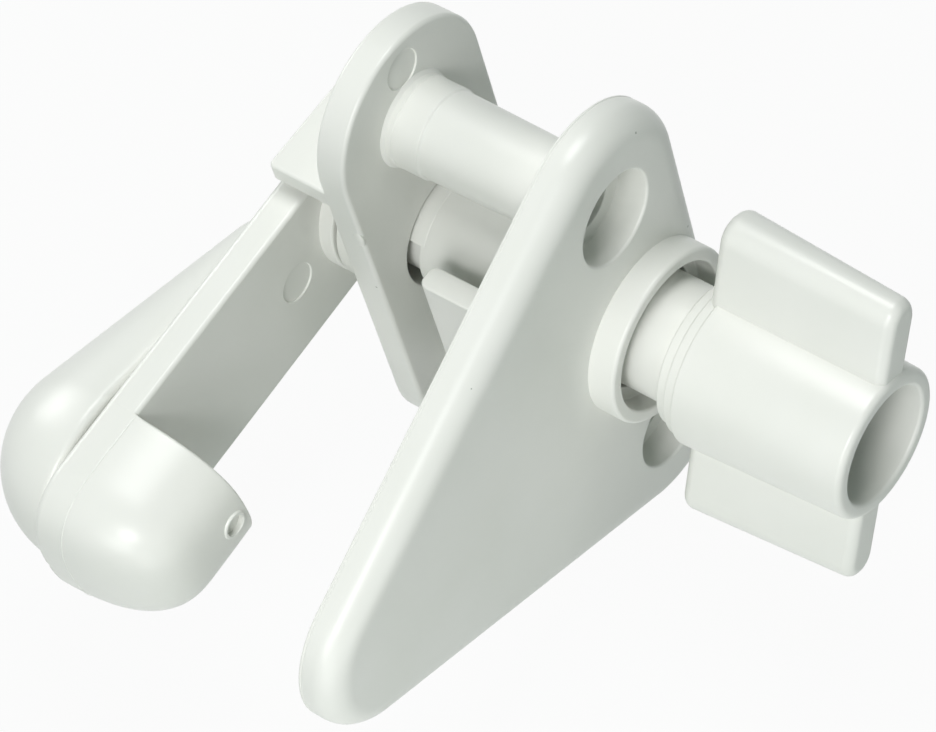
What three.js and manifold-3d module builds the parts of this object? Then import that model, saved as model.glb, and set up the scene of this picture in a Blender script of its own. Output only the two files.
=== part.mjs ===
// Gate latch. Two moulded plates take a gate board between them. A wing knob on the outer side and a hooked
// lever on the inner side turn together on one hollow spindle that runs through both plates.
// Millimetres, +Z up. The knob faces -Y and the lever points to -X. The origin lies on the spindle's axis,
// in the face of the rear plate that bears on the gate.

import * as THREE from 'three';
import { mergeVertices } from 'three/addons/utils/BufferGeometryUtils.js';
import Module from 'manifold-3d';

const wasm = await Module();
wasm.setup();

// Clearances
const SEAT_GAP = 0.3;            // between two pieces that are fixed to each other
const RUNNING_GAP = 0.6;         // between two pieces that turn or slide on each other

// Plates and posts
const GATE_GAP = 33;             // clear space for the gate board
const POST_SPACING = 60;         // from one post's axis to the other's
const REAR_THICKNESS = 5.75;
const REAR_END_RADIUS = 17.9;
const REAR_EDGE_ROUND = 0.8;
const FRONT_THICKNESS = 7;
const FRONT_END_RADIUS = 17.9;
const FRONT_TAIL_REACH = 67.8;    // from the spindle's axis to the centre of the tail's round end
const FRONT_TAIL_RADIUS = 16;
const FRONT_EDGE_ROUND = 4.6;
const SCREW_WELL_RADIUS = 8.3;    // in the front plate, over each post
const SCREW_WELL_FLOOR = 1.2;     // left behind the well, for a clamp screw's head to press on
const POST_FOOT_RADIUS = 8;
const POST_FOOT_HEIGHT = 6.7;
const POST_ROOT_RADIUS = 7.7;
const POST_TIP_RADIUS = 7.3;
const POST_WALL = 2.1;
const POST_SPIGOT_RADIUS = 6;
const POST_TIP_CHAMFER = 0.6;

// Collar of the front plate and the two ribs behind it
const COLLAR_RADIUS = 15.6;
const COLLAR_WALL = 2.4;
const COLLAR_HEIGHT = 5;
const COLLAR_EDGE_ROUND = 0.7;
const CUP_DEPTH = 4.2;
const RIB_OUTER_X = 17.3;
const RIB_THICKNESS = 4.4;
const RIB_HALF_HEIGHT = 11.5;
const RIB_LENGTH = 24;
const RIB_END_ROUND = 1.6;

// Spindle
const STEM_RADIUS = 10.3;
const STEM_BORE_RADIUS = 7.4;
const STEM_FLAT_DEPTH = 1;       // two flats at the front end drive the knob
const JOURNAL_RADIUS = 8.8;
const JOURNAL_START = 1.6;       // in front of the rear plate's face
const STEM_WEB = 4.5;            // solid length in front of the journal
const LUG_RADIUS = 10.4;
const LUG_FROM_DEG = 8;          // angles are taken from +X towards +Z
const LUG_TO_DEG = 142;
const KEY_FROM_DEG = -35;
const KEY_TO_DEG = 6;
const REAR_HOLE_RADIUS = 11.1;
const REAR_HOLE_DEPTH = 9.5;
const DRIVE_SIDE = 11;           // square end that carries the lever
const DRIVE_LENGTH = 6;

// Knob
const NECK_LENGTH = 6.1;         // bare stem between the collar and the knob
const KNOB_REAR_RADIUS = 14.5;
const KNOB_FRONT_RADIUS = 13.1;
const KNOB_LENGTH = 35.3;
const KNOB_BORE_RADIUS = 10.3;
const KNOB_BORE_DEPTH = 16.7;
const KNOB_WEB = 4;
const KNOB_RIM_ROUND = 1.2;
const KNOB_STEP = 0.9;           // two steps round the rear end
const KNOB_STEP_LENGTH = 2;
const WING_REAR_RADIUS = 29;
const WING_FRONT_RADIUS = 27;
const WING_REAR_THICKNESS = 9.4;
const WING_FRONT_THICKNESS = 6.8;
const WING_TIP_ROUND = 3.6;
const WING_END_ROUND = 2;
const WING_FRONT_SET_BACK = 0.6; // from the knob's front
const WING_REAR_SET_BACK = 2.4;  // from the knob's rear
const WING_ANGLE_DEG = 28.7;     // from +Z towards +X, with the lever level

// Lever
const LEVER_DROP_DEG = 3.2;      // how far the lever hangs below level at rest
const BOSS_RADIUS = 14.5;        // round the spindle, on the rear plate and on the lever
const REAR_BOSS_HEIGHT = 6.85;
const LEVER_BOSS_HEIGHT = 2.8;
const BAR_HALF_WIDTH = 15.3;
const BAR_THICKNESS = 6.1;
const BAR_EDGE_ROUND = 0.8;
const BAR_REACH = 68.5;          // from the spindle's axis to the middle of the bar's round end
const HOOK_REACH = 70.2;         // from the spindle's axis to the middle of the hook's dome
const HOOK_END = 14;             // how far the dome goes on past its middle
const HOOK_HALF_WIDTH = 15.5;
const HOOK_DEPTH = 18;           // how far the hook stands forward of the bar
const HOOK_SQUARENESS = 2.6;     // 2 would be an ellipsoid, more is squarer
const HOOK_MIDDLE_Y = 0.5;       // the dome's widest place, behind the bar's back face
const HOOK_ROOT = 60;            // the hook runs nearly straight towards the spindle
const CATCH_REACH = 59.4;        // from the spindle's axis to the hook's flat inner wall
const GRIP_REACH = 63.6;         // from the spindle's axis to the grip's thickest place
const GRIP_END_RADIUS = 19;
const GRIP_HALF_WIDTH = 15.6;
const GRIP_DEPTH = 20;
const GRIP_TIP_REACH = 21;
const GRIP_TIP_RADIUS = 8.6;
const PEG_REACH = 34;
const PEG_RADIUS = 2.5;
const PEG_LENGTH = 4;
const NUT_BOSS_RADIUS = 11.5;
const NUT_BOSS_HEIGHT = 4;

// Stop shelf on the back of the rear plate
const SHELF_HALF_WIDTH = 14.3;
const SHELF_UNDERSIDE = 16;
const SHELF_THICKNESS = 4;
const SHELF_DEPTH = 16.4;

// Fasteners
const SCREW_RADIUS = 3;
const SCREW_HEAD_RADIUS = 5.5;
const SCREW_HEAD_HEIGHT = 3.6;
const SCREW_SOCKET_RADIUS = 2.6;
const SCREW_SOCKET_DEPTH = 2;
const SCREW_PAST_NUT = 1;
const WASHER_RADIUS = 8;
const WASHER_THICKNESS = 1.2;
const NUT_ACROSS_FLATS = 10;
const NUT_HEIGHT = 4.7;
const GRIP_SCREW_REACH = 63;     // from the spindle's axis
const GRIP_SCREW_HOLE_RADIUS = 2.5;
const GRIP_SCREW_HOLE_DEPTH = 17;
const GRIP_SCREW_HEAD_RADIUS = 2.2;
const GRIP_SCREW_HEAD_HEIGHT = 1.8;
const GRIP_SCREW_RADIUS = 1.4;
const GRIP_SCREW_BITE = 10;      // thread length inside the grip

// Facets
const TURN_SEGMENTS = 40;
const ARC_STEPS = 12;
const DOME_STEPS = 24;
const ROUND_STEPS = 3;

// Places along the spindle's axis
const FRONT_BACK_Y = -GATE_GAP;
const FRONT_FACE_Y = FRONT_BACK_Y - FRONT_THICKNESS;
const COLLAR_FRONT_Y = FRONT_FACE_Y - COLLAR_HEIGHT;
const KNOB_REAR_Y = COLLAR_FRONT_Y - NECK_LENGTH;
const KNOB_FRONT_Y = KNOB_REAR_Y - KNOB_LENGTH;
const KNOB_FLOOR_Y = KNOB_FRONT_Y + KNOB_BORE_DEPTH;
const STEM_FRONT_Y = KNOB_FLOOR_Y + KNOB_WEB + SEAT_GAP;
const REAR_BOSS_Y = REAR_THICKNESS + REAR_BOSS_HEIGHT;
const LEVER_BOSS_Y = REAR_BOSS_Y + RUNNING_GAP;
const BAR_FRONT_Y = LEVER_BOSS_Y + LEVER_BOSS_HEIGHT;
const BAR_BACK_Y = BAR_FRONT_Y + BAR_THICKNESS;
const NUT_BOSS_Y = BAR_BACK_Y + NUT_BOSS_HEIGHT;
const NUT_SEAT_Y = NUT_BOSS_Y - NUT_HEIGHT - SEAT_GAP;
const DRIVE_END_Y = LEVER_BOSS_Y + DRIVE_LENGTH;
const SOCKET_END_Y = DRIVE_END_Y + SEAT_GAP;
const HOOK_NOSE_Y = BAR_FRONT_Y - HOOK_DEPTH;
const GRIP_FACE_Y = BAR_BACK_Y + SEAT_GAP;
const POST_TIP_Y = FRONT_BACK_Y + SEAT_GAP;
const POST_BORE_RADIUS = POST_TIP_RADIUS - POST_WALL;
const FAR = 400;                 // larger than the object, for cutting blocks
const OVERRUN = 1;               // how far a cut runs past the face that it opens

const radians = THREE.MathUtils.degToRad;

// Solids

// Turns a closed geometry into a solid that can be joined and cut.
function solid(geometry) {
  const bare = geometry.index ? geometry.toNonIndexed() : geometry;
  bare.deleteAttribute('normal');
  bare.deleteAttribute('uv');
  const merged = mergeVertices(bare, 1e-4);
  const index = merged.index.array;
  const corners = [];
  for (let i = 0; i < index.length; i += 3) {
    const [a, b, c] = [index[i], index[i + 1], index[i + 2]];
    if (a !== b && b !== c && c !== a) corners.push(a, b, c);
  }
  return new wasm.Manifold(new wasm.Mesh({
    numProp: 3,
    vertProperties: new Float32Array(merged.attributes.position.array),
    triVerts: new Uint32Array(corners),
  }));
}

function mesh(name, body, material) {
  const { vertProperties, triVerts } = body.getMesh();
  const geometry = new THREE.BufferGeometry();
  geometry.setAttribute('position', new THREE.BufferAttribute(new Float32Array(vertProperties), 3));
  geometry.setIndex(new THREE.BufferAttribute(new Uint32Array(triVerts), 1));
  geometry.computeVertexNormals();
  const part = new THREE.Mesh(geometry, material);
  part.name = name;
  return part;
}

// A body turned about an axis along Y, from [radius, y] pairs that climb in y on the outside.
function turned(profile, { x = 0, z = 0, segments = TURN_SEGMENTS } = {}) {
  const points = profile.map(([radius, y]) => new THREE.Vector2(radius, y));
  return solid(new THREE.LatheGeometry(points, segments).translate(x, 0, z));
}

function cylinder(radius, fromY, toY, place) {
  return turned([[0, fromY], [radius, fromY], [radius, toY], [0, toY]], place);
}

function block(fromX, toX, fromY, toY, fromZ, toZ) {
  const box = new THREE.BoxGeometry(toX - fromX, toY - fromY, toZ - fromZ);
  return solid(box.translate((fromX + toX) / 2, (fromY + toY) / 2, (fromZ + toZ) / 2));
}

// A shape drawn in X and Z, carried from one y to another, with its front and rear edges rounded alike.
function slabGeometry(shape, fromY, toY, edgeRound = 0) {
  const geometry = new THREE.ExtrudeGeometry(shape, {
    depth: toY - fromY - 2 * edgeRound,
    curveSegments: ARC_STEPS,
    bevelEnabled: edgeRound > 0,
    bevelThickness: edgeRound,
    bevelSize: edgeRound,
    bevelOffset: -edgeRound,
    bevelSegments: ROUND_STEPS,
  });
  return geometry.rotateX(Math.PI / 2).translate(0, toY - edgeRound, 0);
}

function slab(shape, fromY, toY, edgeRound = 0) {
  return solid(slabGeometry(shape, fromY, toY, edgeRound));
}

// Points of a quarter round, from one angle to another, as [radius, y] pairs.
function quarter(centreRadius, centreY, round, fromDeg, toDeg) {
  const points = [];
  for (let i = 0; i <= ROUND_STEPS; i++) {
    const angle = radians(fromDeg + ((toDeg - fromDeg) * i) / ROUND_STEPS);
    points.push([centreRadius + round * Math.cos(angle), centreY + round * Math.sin(angle)]);
  }
  return points;
}

// The outline round a row of circles, given counterclockwise: arcs joined by their common tangents.
function hullShape(circles) {
  const normal = (a, b) => Math.atan2(b.z - a.z, b.x - a.x) - Math.PI / 2
    + Math.asin((a.r - b.r) / Math.hypot(b.x - a.x, b.z - a.z));
  const shape = new THREE.Shape();
  circles.forEach((circle, i) => {
    const before = circles[(i + circles.length - 1) % circles.length];
    const after = circles[(i + 1) % circles.length];
    shape.absarc(circle.x, circle.z, circle.r, normal(before, circle), normal(circle, after), false);
  });
  return shape;
}

// A piece of a ring about the spindle's axis, between two angles taken from +X towards +Z.
function ringSector(innerRadius, outerRadius, fromDeg, toDeg, fromY, toY) {
  const shape = new THREE.Shape();
  shape.absarc(0, 0, outerRadius, radians(fromDeg), radians(toDeg), false);
  shape.absarc(0, 0, innerRadius, radians(toDeg), radians(fromDeg), true);
  return slab(shape, fromY, toY);
}

// Places of the two posts on the Z axis
const POST_Z = { upper: POST_SPACING / 2, lower: -POST_SPACING / 2 };

// Front plate: a tailed plate with a rounded front edge, a collar round the stem, a well over each post for a
// clamp screw's head, and two ribs behind
function frontPlate() {
  const outline = hullShape([
    { x: 0, z: POST_Z.lower, r: FRONT_END_RADIUS },
    { x: 0, z: POST_Z.upper, r: FRONT_END_RADIUS },
    { x: -FRONT_TAIL_REACH, z: 0, r: FRONT_TAIL_RADIUS },
  ]);
  const cupRadius = COLLAR_RADIUS - COLLAR_WALL;
  const cupFloorY = COLLAR_FRONT_Y + CUP_DEPTH;
  const round = COLLAR_EDGE_ROUND;
  const collar = turned([
    [0, COLLAR_FRONT_Y],
    ...quarter(COLLAR_RADIUS - round, COLLAR_FRONT_Y + round, round, -90, 0),
    [COLLAR_RADIUS, FRONT_BACK_Y - OVERRUN],
    [0, FRONT_BACK_Y - OVERRUN],
  ]);
  let plate = slab(outline, FRONT_FACE_Y, FRONT_BACK_Y + FRONT_EDGE_ROUND, FRONT_EDGE_ROUND)
    .subtract(block(-FAR, FAR, FRONT_BACK_Y, FAR, -FAR, FAR))
    .add(collar)
    .subtract(cylinder(cupRadius, COLLAR_FRONT_Y - OVERRUN, cupFloorY));
  for (const side of [-1, 1]) plate = plate.add(rib(side));
  plate = plate.subtract(cylinder(STEM_RADIUS + RUNNING_GAP, -FAR, FAR));
  for (const z of Object.values(POST_Z)) {
    plate = plate
      .subtract(cylinder(SCREW_WELL_RADIUS, -FAR, FRONT_BACK_Y - SCREW_WELL_FLOOR, { z }))
      .subtract(cylinder(POST_BORE_RADIUS, -FAR, FAR, { z }));
  }
  return plate;
}

// One rib behind the front plate, drawn in plan with a rounded free end.
function rib(side) {
  const outerX = RIB_OUTER_X;
  const innerX = RIB_OUTER_X - RIB_THICKNESS;
  const round = RIB_END_ROUND;
  const shape = new THREE.Shape();
  shape.moveTo(innerX, -OVERRUN);
  shape.lineTo(outerX, -OVERRUN);
  shape.absarc(outerX - round, RIB_LENGTH - round, round, 0, Math.PI / 2, false);
  shape.absarc(innerX + round, RIB_LENGTH - round, round, Math.PI / 2, Math.PI, false);
  const plan = new THREE.ExtrudeGeometry(shape, {
    depth: 2 * RIB_HALF_HEIGHT,
    curveSegments: ROUND_STEPS,
    bevelEnabled: false,
  });
  plan.translate(0, FRONT_BACK_Y, -RIB_HALF_HEIGHT);
  if (side < 0) plan.rotateZ(Math.PI).translate(0, 2 * FRONT_BACK_Y + RIB_LENGTH - OVERRUN, 0);
  return solid(plan);
}

// Rear plate: a round-ended plate with the spindle's bearing, a stop key in its hole and a stop shelf behind
function rearPlate() {
  const outline = hullShape([
    { x: 0, z: POST_Z.lower, r: REAR_END_RADIUS },
    { x: 0, z: POST_Z.upper, r: REAR_END_RADIUS },
  ]);
  const shelf = block(
    -SHELF_HALF_WIDTH, SHELF_HALF_WIDTH,
    REAR_THICKNESS - OVERRUN, REAR_THICKNESS + SHELF_DEPTH,
    SHELF_UNDERSIDE, SHELF_UNDERSIDE + SHELF_THICKNESS,
  );
  const key = ringSector(
    JOURNAL_RADIUS + RUNNING_GAP, REAR_HOLE_RADIUS + OVERRUN,
    KEY_FROM_DEG, KEY_TO_DEG, 0, REAR_HOLE_DEPTH + OVERRUN,
  );
  let plate = slab(outline, 0, REAR_THICKNESS, REAR_EDGE_ROUND)
    .add(cylinder(BOSS_RADIUS, REAR_THICKNESS - OVERRUN, REAR_BOSS_Y))
    .add(shelf)
    .subtract(cylinder(REAR_HOLE_RADIUS, -OVERRUN, REAR_HOLE_DEPTH))
    .add(key)
    .subtract(cylinder(JOURNAL_RADIUS + SEAT_GAP, -OVERRUN, REAR_BOSS_Y + OVERRUN));
  const socketRadius = POST_SPIGOT_RADIUS + SEAT_GAP;
  for (const z of Object.values(POST_Z)) {
    plate = plate.subtract(cylinder(socketRadius, -OVERRUN, REAR_THICKNESS + OVERRUN, { z }));
  }
  return plate;
}

// One hollow post: a stepped foot on the rear plate, a spigot in it, and a body that tapers to the front.
function post(z) {
  const footY = -SEAT_GAP;
  const stepY = footY - POST_FOOT_HEIGHT;
  const body = turned([
    [0, POST_TIP_Y],
    [POST_TIP_RADIUS - POST_TIP_CHAMFER, POST_TIP_Y],
    [POST_TIP_RADIUS, POST_TIP_Y + POST_TIP_CHAMFER],
    [POST_ROOT_RADIUS, stepY],
    [POST_FOOT_RADIUS, stepY + POST_FOOT_RADIUS - POST_ROOT_RADIUS],
    [POST_FOOT_RADIUS, footY],
    [POST_SPIGOT_RADIUS, footY],
    [POST_SPIGOT_RADIUS, REAR_THICKNESS],
    [0, REAR_THICKNESS],
  ], { z });
  return body.subtract(cylinder(POST_BORE_RADIUS, -FAR, FAR, { z }));
}

// Spindle: a hollow stem with drive flats, a journal with a stop lug, and a square end for the lever
function spindle() {
  const flat = STEM_RADIUS - STEM_FLAT_DEPTH;
  const flatEndY = KNOB_REAR_Y;
  const half = DRIVE_SIDE / 2;
  let body = cylinder(STEM_RADIUS, STEM_FRONT_Y, -JOURNAL_START)
    .add(cylinder(JOURNAL_RADIUS, -JOURNAL_START - OVERRUN, LEVER_BOSS_Y))
    .add(ringSector(JOURNAL_RADIUS - OVERRUN, LUG_RADIUS, LUG_FROM_DEG, LUG_TO_DEG,
      -JOURNAL_START - OVERRUN, REAR_HOLE_DEPTH - RUNNING_GAP))
    .add(block(-half, half, LEVER_BOSS_Y - OVERRUN, DRIVE_END_Y, -half, half));
  for (const side of [-1, 1]) {
    const edges = [side * flat, side * FAR].sort((a, b) => a - b);
    body = body.subtract(block(edges[0], edges[1], -FAR, flatEndY, -FAR, FAR));
  }
  return body
    .subtract(cylinder(STEM_BORE_RADIUS, -FAR, -JOURNAL_START - STEM_WEB))
    .subtract(cylinder(SCREW_RADIUS + SEAT_GAP, -FAR, FAR));
}

// Wing knob: a round body with a deep bore, fine steps round its rear edge, and two flat wings
function wingKnob() {
  const rim = KNOB_RIM_ROUND;
  const stepY = (count) => KNOB_REAR_Y - count * KNOB_STEP_LENGTH;
  const body = turned([
    [0, KNOB_FRONT_Y],
    ...quarter(KNOB_FRONT_RADIUS - rim, KNOB_FRONT_Y + rim, rim, -90, 0),
    [KNOB_REAR_RADIUS, stepY(2)],
    [KNOB_REAR_RADIUS - KNOB_STEP, stepY(2)],
    [KNOB_REAR_RADIUS - KNOB_STEP, stepY(1)],
    [KNOB_REAR_RADIUS - 2 * KNOB_STEP, stepY(1)],
    [KNOB_REAR_RADIUS - 2 * KNOB_STEP, KNOB_REAR_Y],
    [0, KNOB_REAR_Y],
  ]);
  const socketFlat = STEM_RADIUS - STEM_FLAT_DEPTH + SEAT_GAP;
  const socket = cylinder(STEM_RADIUS + SEAT_GAP, KNOB_FLOOR_Y + KNOB_WEB, KNOB_REAR_Y + OVERRUN)
    .intersect(block(-socketFlat, socketFlat, -FAR, FAR, -FAR, FAR));
  return body
    .add(wings())
    .subtract(cylinder(KNOB_BORE_RADIUS, -FAR, KNOB_FLOOR_Y))
    .subtract(socket)
    .subtract(cylinder(SCREW_RADIUS + SEAT_GAP, -FAR, FAR));
}

// Both wings as one plate through the knob's axis, with round tips, shorter and thinner at the front.
function wings() {
  const rearY = KNOB_REAR_Y - WING_REAR_SET_BACK;
  const frontY = KNOB_FRONT_Y + WING_FRONT_SET_BACK;
  const tipX = WING_REAR_RADIUS - WING_TIP_ROUND;
  const tipZ = WING_REAR_THICKNESS / 2 - WING_TIP_ROUND;
  const section = hullShape([
    { x: -tipX, z: -tipZ, r: WING_TIP_ROUND },
    { x: tipX, z: -tipZ, r: WING_TIP_ROUND },
    { x: tipX, z: tipZ, r: WING_TIP_ROUND },
    { x: -tipX, z: tipZ, r: WING_TIP_ROUND },
  ]);
  const plate = slabGeometry(section, frontY, rearY, WING_END_ROUND);
  const place = plate.attributes.position;
  for (let i = 0; i < place.count; i++) {
    const share = (rearY - place.getY(i)) / (rearY - frontY);
    place.setX(i, place.getX(i) * THREE.MathUtils.lerp(1, WING_FRONT_RADIUS / WING_REAR_RADIUS, share));
    place.setZ(i, place.getZ(i) * THREE.MathUtils.lerp(1, WING_FRONT_THICKNESS / WING_REAR_THICKNESS, share));
  }
  return solid(plate.rotateY(radians(WING_ANGLE_DEG - 90)));
}

// Lever: a flat bar on the spindle's square, with a boss each side and a bullet-shaped hook at its end
function leverArm() {
  const outline = hullShape([
    { x: 0, z: 0, r: BAR_HALF_WIDTH },
    { x: -BAR_REACH, z: 0, r: BAR_HALF_WIDTH },
  ]);
  const socketHalf = DRIVE_SIDE / 2 + SEAT_GAP;
  const pegHole = cylinder(PEG_RADIUS + SEAT_GAP, BAR_BACK_Y - PEG_LENGTH - SEAT_GAP, FAR, { x: -PEG_REACH });
  return slab(outline, BAR_FRONT_Y, BAR_BACK_Y, BAR_EDGE_ROUND)
    .add(cylinder(BOSS_RADIUS, LEVER_BOSS_Y, BAR_FRONT_Y + OVERRUN))
    .add(cylinder(NUT_BOSS_RADIUS, BAR_BACK_Y - OVERRUN, NUT_BOSS_Y))
    .add(hook())
    .subtract(block(-socketHalf, socketHalf, -FAR, SOCKET_END_Y, -socketHalf, socketHalf))
    .subtract(cylinder(SCREW_RADIUS + SEAT_GAP, -FAR, FAR))
    .subtract(hexagon(NUT_ACROSS_FLATS / 2 + SEAT_GAP, NUT_SEAT_Y, FAR))
    .subtract(pegHole)
    .subtract(cylinder(GRIP_SCREW_RADIUS + SEAT_GAP, -FAR, FAR, { x: -GRIP_SCREW_REACH }))
    .subtract(cylinder(GRIP_SCREW_HOLE_RADIUS, -FAR, HOOK_NOSE_Y + GRIP_SCREW_HOLE_DEPTH, { x: -GRIP_SCREW_REACH }));
}

// The hook is a squared dome. Each point of a ball is moved along its own ray until the sum of its three
// coordinates, each divided by the dome's half size and raised to the squareness, is one. A flat wall cuts it
// on the spindle's side and catches behind the gate post.
function hook() {
  const dome = new THREE.SphereGeometry(1, TURN_SEGMENTS, DOME_STEPS);
  const places = dome.attributes.position;
  const ray = new THREE.Vector3();
  const depth = HOOK_DEPTH + BAR_THICKNESS + HOOK_MIDDLE_Y;
  for (let i = 0; i < places.count; i++) {
    ray.fromBufferAttribute(places, i);
    const length = ray.x > 0 ? HOOK_ROOT : HOOK_END;
    const sum = Math.abs(ray.x / length) ** HOOK_SQUARENESS
      + Math.abs(ray.y / depth) ** HOOK_SQUARENESS
      + Math.abs(ray.z / HOOK_HALF_WIDTH) ** HOOK_SQUARENESS;
    ray.multiplyScalar(sum ** (-1 / HOOK_SQUARENESS));
    places.setXYZ(i, ray.x, ray.y, ray.z);
  }
  return solid(dome.translate(-HOOK_REACH, BAR_BACK_Y + HOOK_MIDDLE_Y, 0))
    .subtract(block(-CATCH_REACH, FAR, -FAR, FAR, -FAR, FAR))
    .subtract(block(-FAR, FAR, BAR_BACK_Y, FAR, -FAR, FAR));
}

// Grip: the rear half of a drop turned about the lever's length and flattened, with a peg that enters the bar
function leverGrip() {
  const reach = GRIP_REACH - GRIP_TIP_REACH;
  const lean = Math.asin((GRIP_END_RADIUS - GRIP_TIP_RADIUS) / reach);
  const profile = [];
  const arc = (centre, radius, from, to, steps) => {
    for (let i = 0; i <= steps; i++) {
      const angle = from + ((to - from) * i) / steps;
      profile.push(new THREE.Vector2(Math.max(radius * Math.cos(angle), 0), centre + radius * Math.sin(angle)));
    }
  };
  arc(-GRIP_REACH, GRIP_END_RADIUS, -Math.PI / 2, lean, ARC_STEPS);
  arc(-GRIP_TIP_REACH, GRIP_TIP_RADIUS, lean, Math.PI / 2, ARC_STEPS / 2);
  const drop = new THREE.LatheGeometry(profile, TURN_SEGMENTS).rotateZ(-Math.PI / 2)
    .scale(1, GRIP_DEPTH / GRIP_END_RADIUS, GRIP_HALF_WIDTH / GRIP_END_RADIUS);
  const half = solid(drop.translate(0, BAR_BACK_Y, 0))
    .subtract(block(-FAR, FAR, -FAR, GRIP_FACE_Y, -FAR, FAR));
  const threadEndY = GRIP_FACE_Y + GRIP_SCREW_BITE + SEAT_GAP;
  return half
    .add(cylinder(PEG_RADIUS, BAR_BACK_Y - PEG_LENGTH, GRIP_FACE_Y + OVERRUN, { x: -PEG_REACH }))
    .subtract(cylinder(GRIP_SCREW_RADIUS + SEAT_GAP, -FAR, threadEndY, { x: -GRIP_SCREW_REACH }));
}

// A six-sided prism about the spindle's axis, given by half its width across flats.
function hexagon(halfFlats, fromY, toY) {
  return turned([
    [0, fromY],
    [halfFlats / Math.cos(Math.PI / 6), fromY],
    [halfFlats / Math.cos(Math.PI / 6), toY],
    [0, toY],
  ], { segments: 6 });
}

// Long screw through the spindle, with its head on a washer in the knob's bore and a nut in the lever
function spindleScrew() {
  const seatY = KNOB_FLOOR_Y - 2 * SEAT_GAP - WASHER_THICKNESS;
  const headY = seatY - SCREW_HEAD_HEIGHT;
  return cylinder(SCREW_HEAD_RADIUS, headY, seatY)
    .add(cylinder(SCREW_RADIUS, seatY - OVERRUN, NUT_BOSS_Y + SCREW_PAST_NUT))
    .subtract(hexagon(SCREW_SOCKET_RADIUS, -FAR, headY + SCREW_SOCKET_DEPTH));
}

function screwWasher() {
  const backY = KNOB_FLOOR_Y - SEAT_GAP;
  return cylinder(WASHER_RADIUS, backY - WASHER_THICKNESS, backY)
    .subtract(cylinder(SCREW_RADIUS + SEAT_GAP, -FAR, FAR));
}

function spindleNut() {
  return hexagon(NUT_ACROSS_FLATS / 2, NUT_SEAT_Y + SEAT_GAP, NUT_BOSS_Y)
    .subtract(cylinder(SCREW_RADIUS + SEAT_GAP, -FAR, FAR));
}

// Small screw that holds the grip, driven from the hook's nose
function gripScrew() {
  const place = { x: -GRIP_SCREW_REACH, segments: ARC_STEPS };
  const seatY = HOOK_NOSE_Y + GRIP_SCREW_HOLE_DEPTH - SEAT_GAP;
  return cylinder(GRIP_SCREW_HEAD_RADIUS, seatY - GRIP_SCREW_HEAD_HEIGHT, seatY, place)
    .add(cylinder(GRIP_SCREW_RADIUS, seatY - OVERRUN, GRIP_FACE_Y + GRIP_SCREW_BITE, place));
}

// Materials
const plastic = new THREE.MeshStandardMaterial({ color: 0xe9ece7, roughness: 0.35, metalness: 0 });
const steel = new THREE.MeshStandardMaterial({ color: 0xb9bcc0, roughness: 0.3, metalness: 1 });

// Assembly: what turns with the spindle hangs a little below level
const turningSet = new THREE.Group();
turningSet.rotation.y = -radians(LEVER_DROP_DEG);
turningSet.add(
  mesh('spindle', spindle(), plastic),
  mesh('wing_knob', wingKnob(), plastic),
  mesh('lever_arm', leverArm(), plastic),
  mesh('lever_grip', leverGrip(), plastic),
  mesh('spindle_screw', spindleScrew(), steel),
  mesh('screw_washer', screwWasher(), steel),
  mesh('spindle_nut', spindleNut(), steel),
  mesh('grip_screw', gripScrew(), steel),
);

const latch = new THREE.Group();
latch.add(
  mesh('front_plate', frontPlate(), plastic),
  mesh('rear_plate', rearPlate(), plastic),
  mesh('upper_post', post(POST_Z.upper), plastic),
  mesh('lower_post', post(POST_Z.lower), plastic),
  turningSet,
);

export default latch;
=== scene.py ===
"""Looks of the gate latch: glossy off-white mouldings with zinc-plated fasteners, on a pale floor.

Lengths are millimetres in the CAD frame until a mesh is made; the spindle's axis is the Y axis.
"""

import logging
import math
from dataclasses import dataclass, field
from enum import Enum
from typing import Any, Sequence

import bmesh
import bpy
import numpy as np
from mathutils import Matrix, Vector
from mathutils.geometry import delaunay_2d_cdt


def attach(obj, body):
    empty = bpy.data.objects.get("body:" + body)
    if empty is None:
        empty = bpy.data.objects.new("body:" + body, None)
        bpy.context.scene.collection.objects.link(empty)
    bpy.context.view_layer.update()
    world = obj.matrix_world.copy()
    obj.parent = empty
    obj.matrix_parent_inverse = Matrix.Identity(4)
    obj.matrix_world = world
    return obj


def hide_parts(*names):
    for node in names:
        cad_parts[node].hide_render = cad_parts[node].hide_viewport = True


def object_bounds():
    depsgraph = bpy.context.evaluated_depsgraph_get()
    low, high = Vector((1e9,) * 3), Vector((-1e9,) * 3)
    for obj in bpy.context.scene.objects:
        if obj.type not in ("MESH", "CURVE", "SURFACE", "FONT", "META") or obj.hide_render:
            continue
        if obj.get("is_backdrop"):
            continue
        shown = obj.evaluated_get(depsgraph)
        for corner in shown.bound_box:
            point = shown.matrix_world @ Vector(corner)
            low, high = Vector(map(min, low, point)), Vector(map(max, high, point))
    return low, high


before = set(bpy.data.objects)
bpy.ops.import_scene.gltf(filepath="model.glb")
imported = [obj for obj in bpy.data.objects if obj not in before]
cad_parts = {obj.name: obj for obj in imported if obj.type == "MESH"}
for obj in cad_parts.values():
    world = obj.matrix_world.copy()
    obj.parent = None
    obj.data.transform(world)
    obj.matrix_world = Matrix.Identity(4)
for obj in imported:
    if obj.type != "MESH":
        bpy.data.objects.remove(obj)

Array = np.ndarray
Pair = tuple[float, float]
Triple = tuple[float, float, float]
Quad = tuple[float, float, float, float]
Hole = tuple["Outline", Array]
Tree = bpy.types.NodeTree
Socket = bpy.types.NodeSocket
LOG = logging.getLogger("gate_latch")
MM = 0.001
WELD_MM, SAME_MM, CDT_MM = 0.002, 1e-6, 1e-5  # distances that count as none
CDT_HULL = 0  # every triangle of the convex hull
FACE_ROW_MM = 0.4  # from an edge's rounding to the row on the flat face
TINY = 1e-9  # least length to divide by
LEAST_TURN = 1e-3  # least half angle of a rounded corner
SHARP_DEG = 38.0
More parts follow.
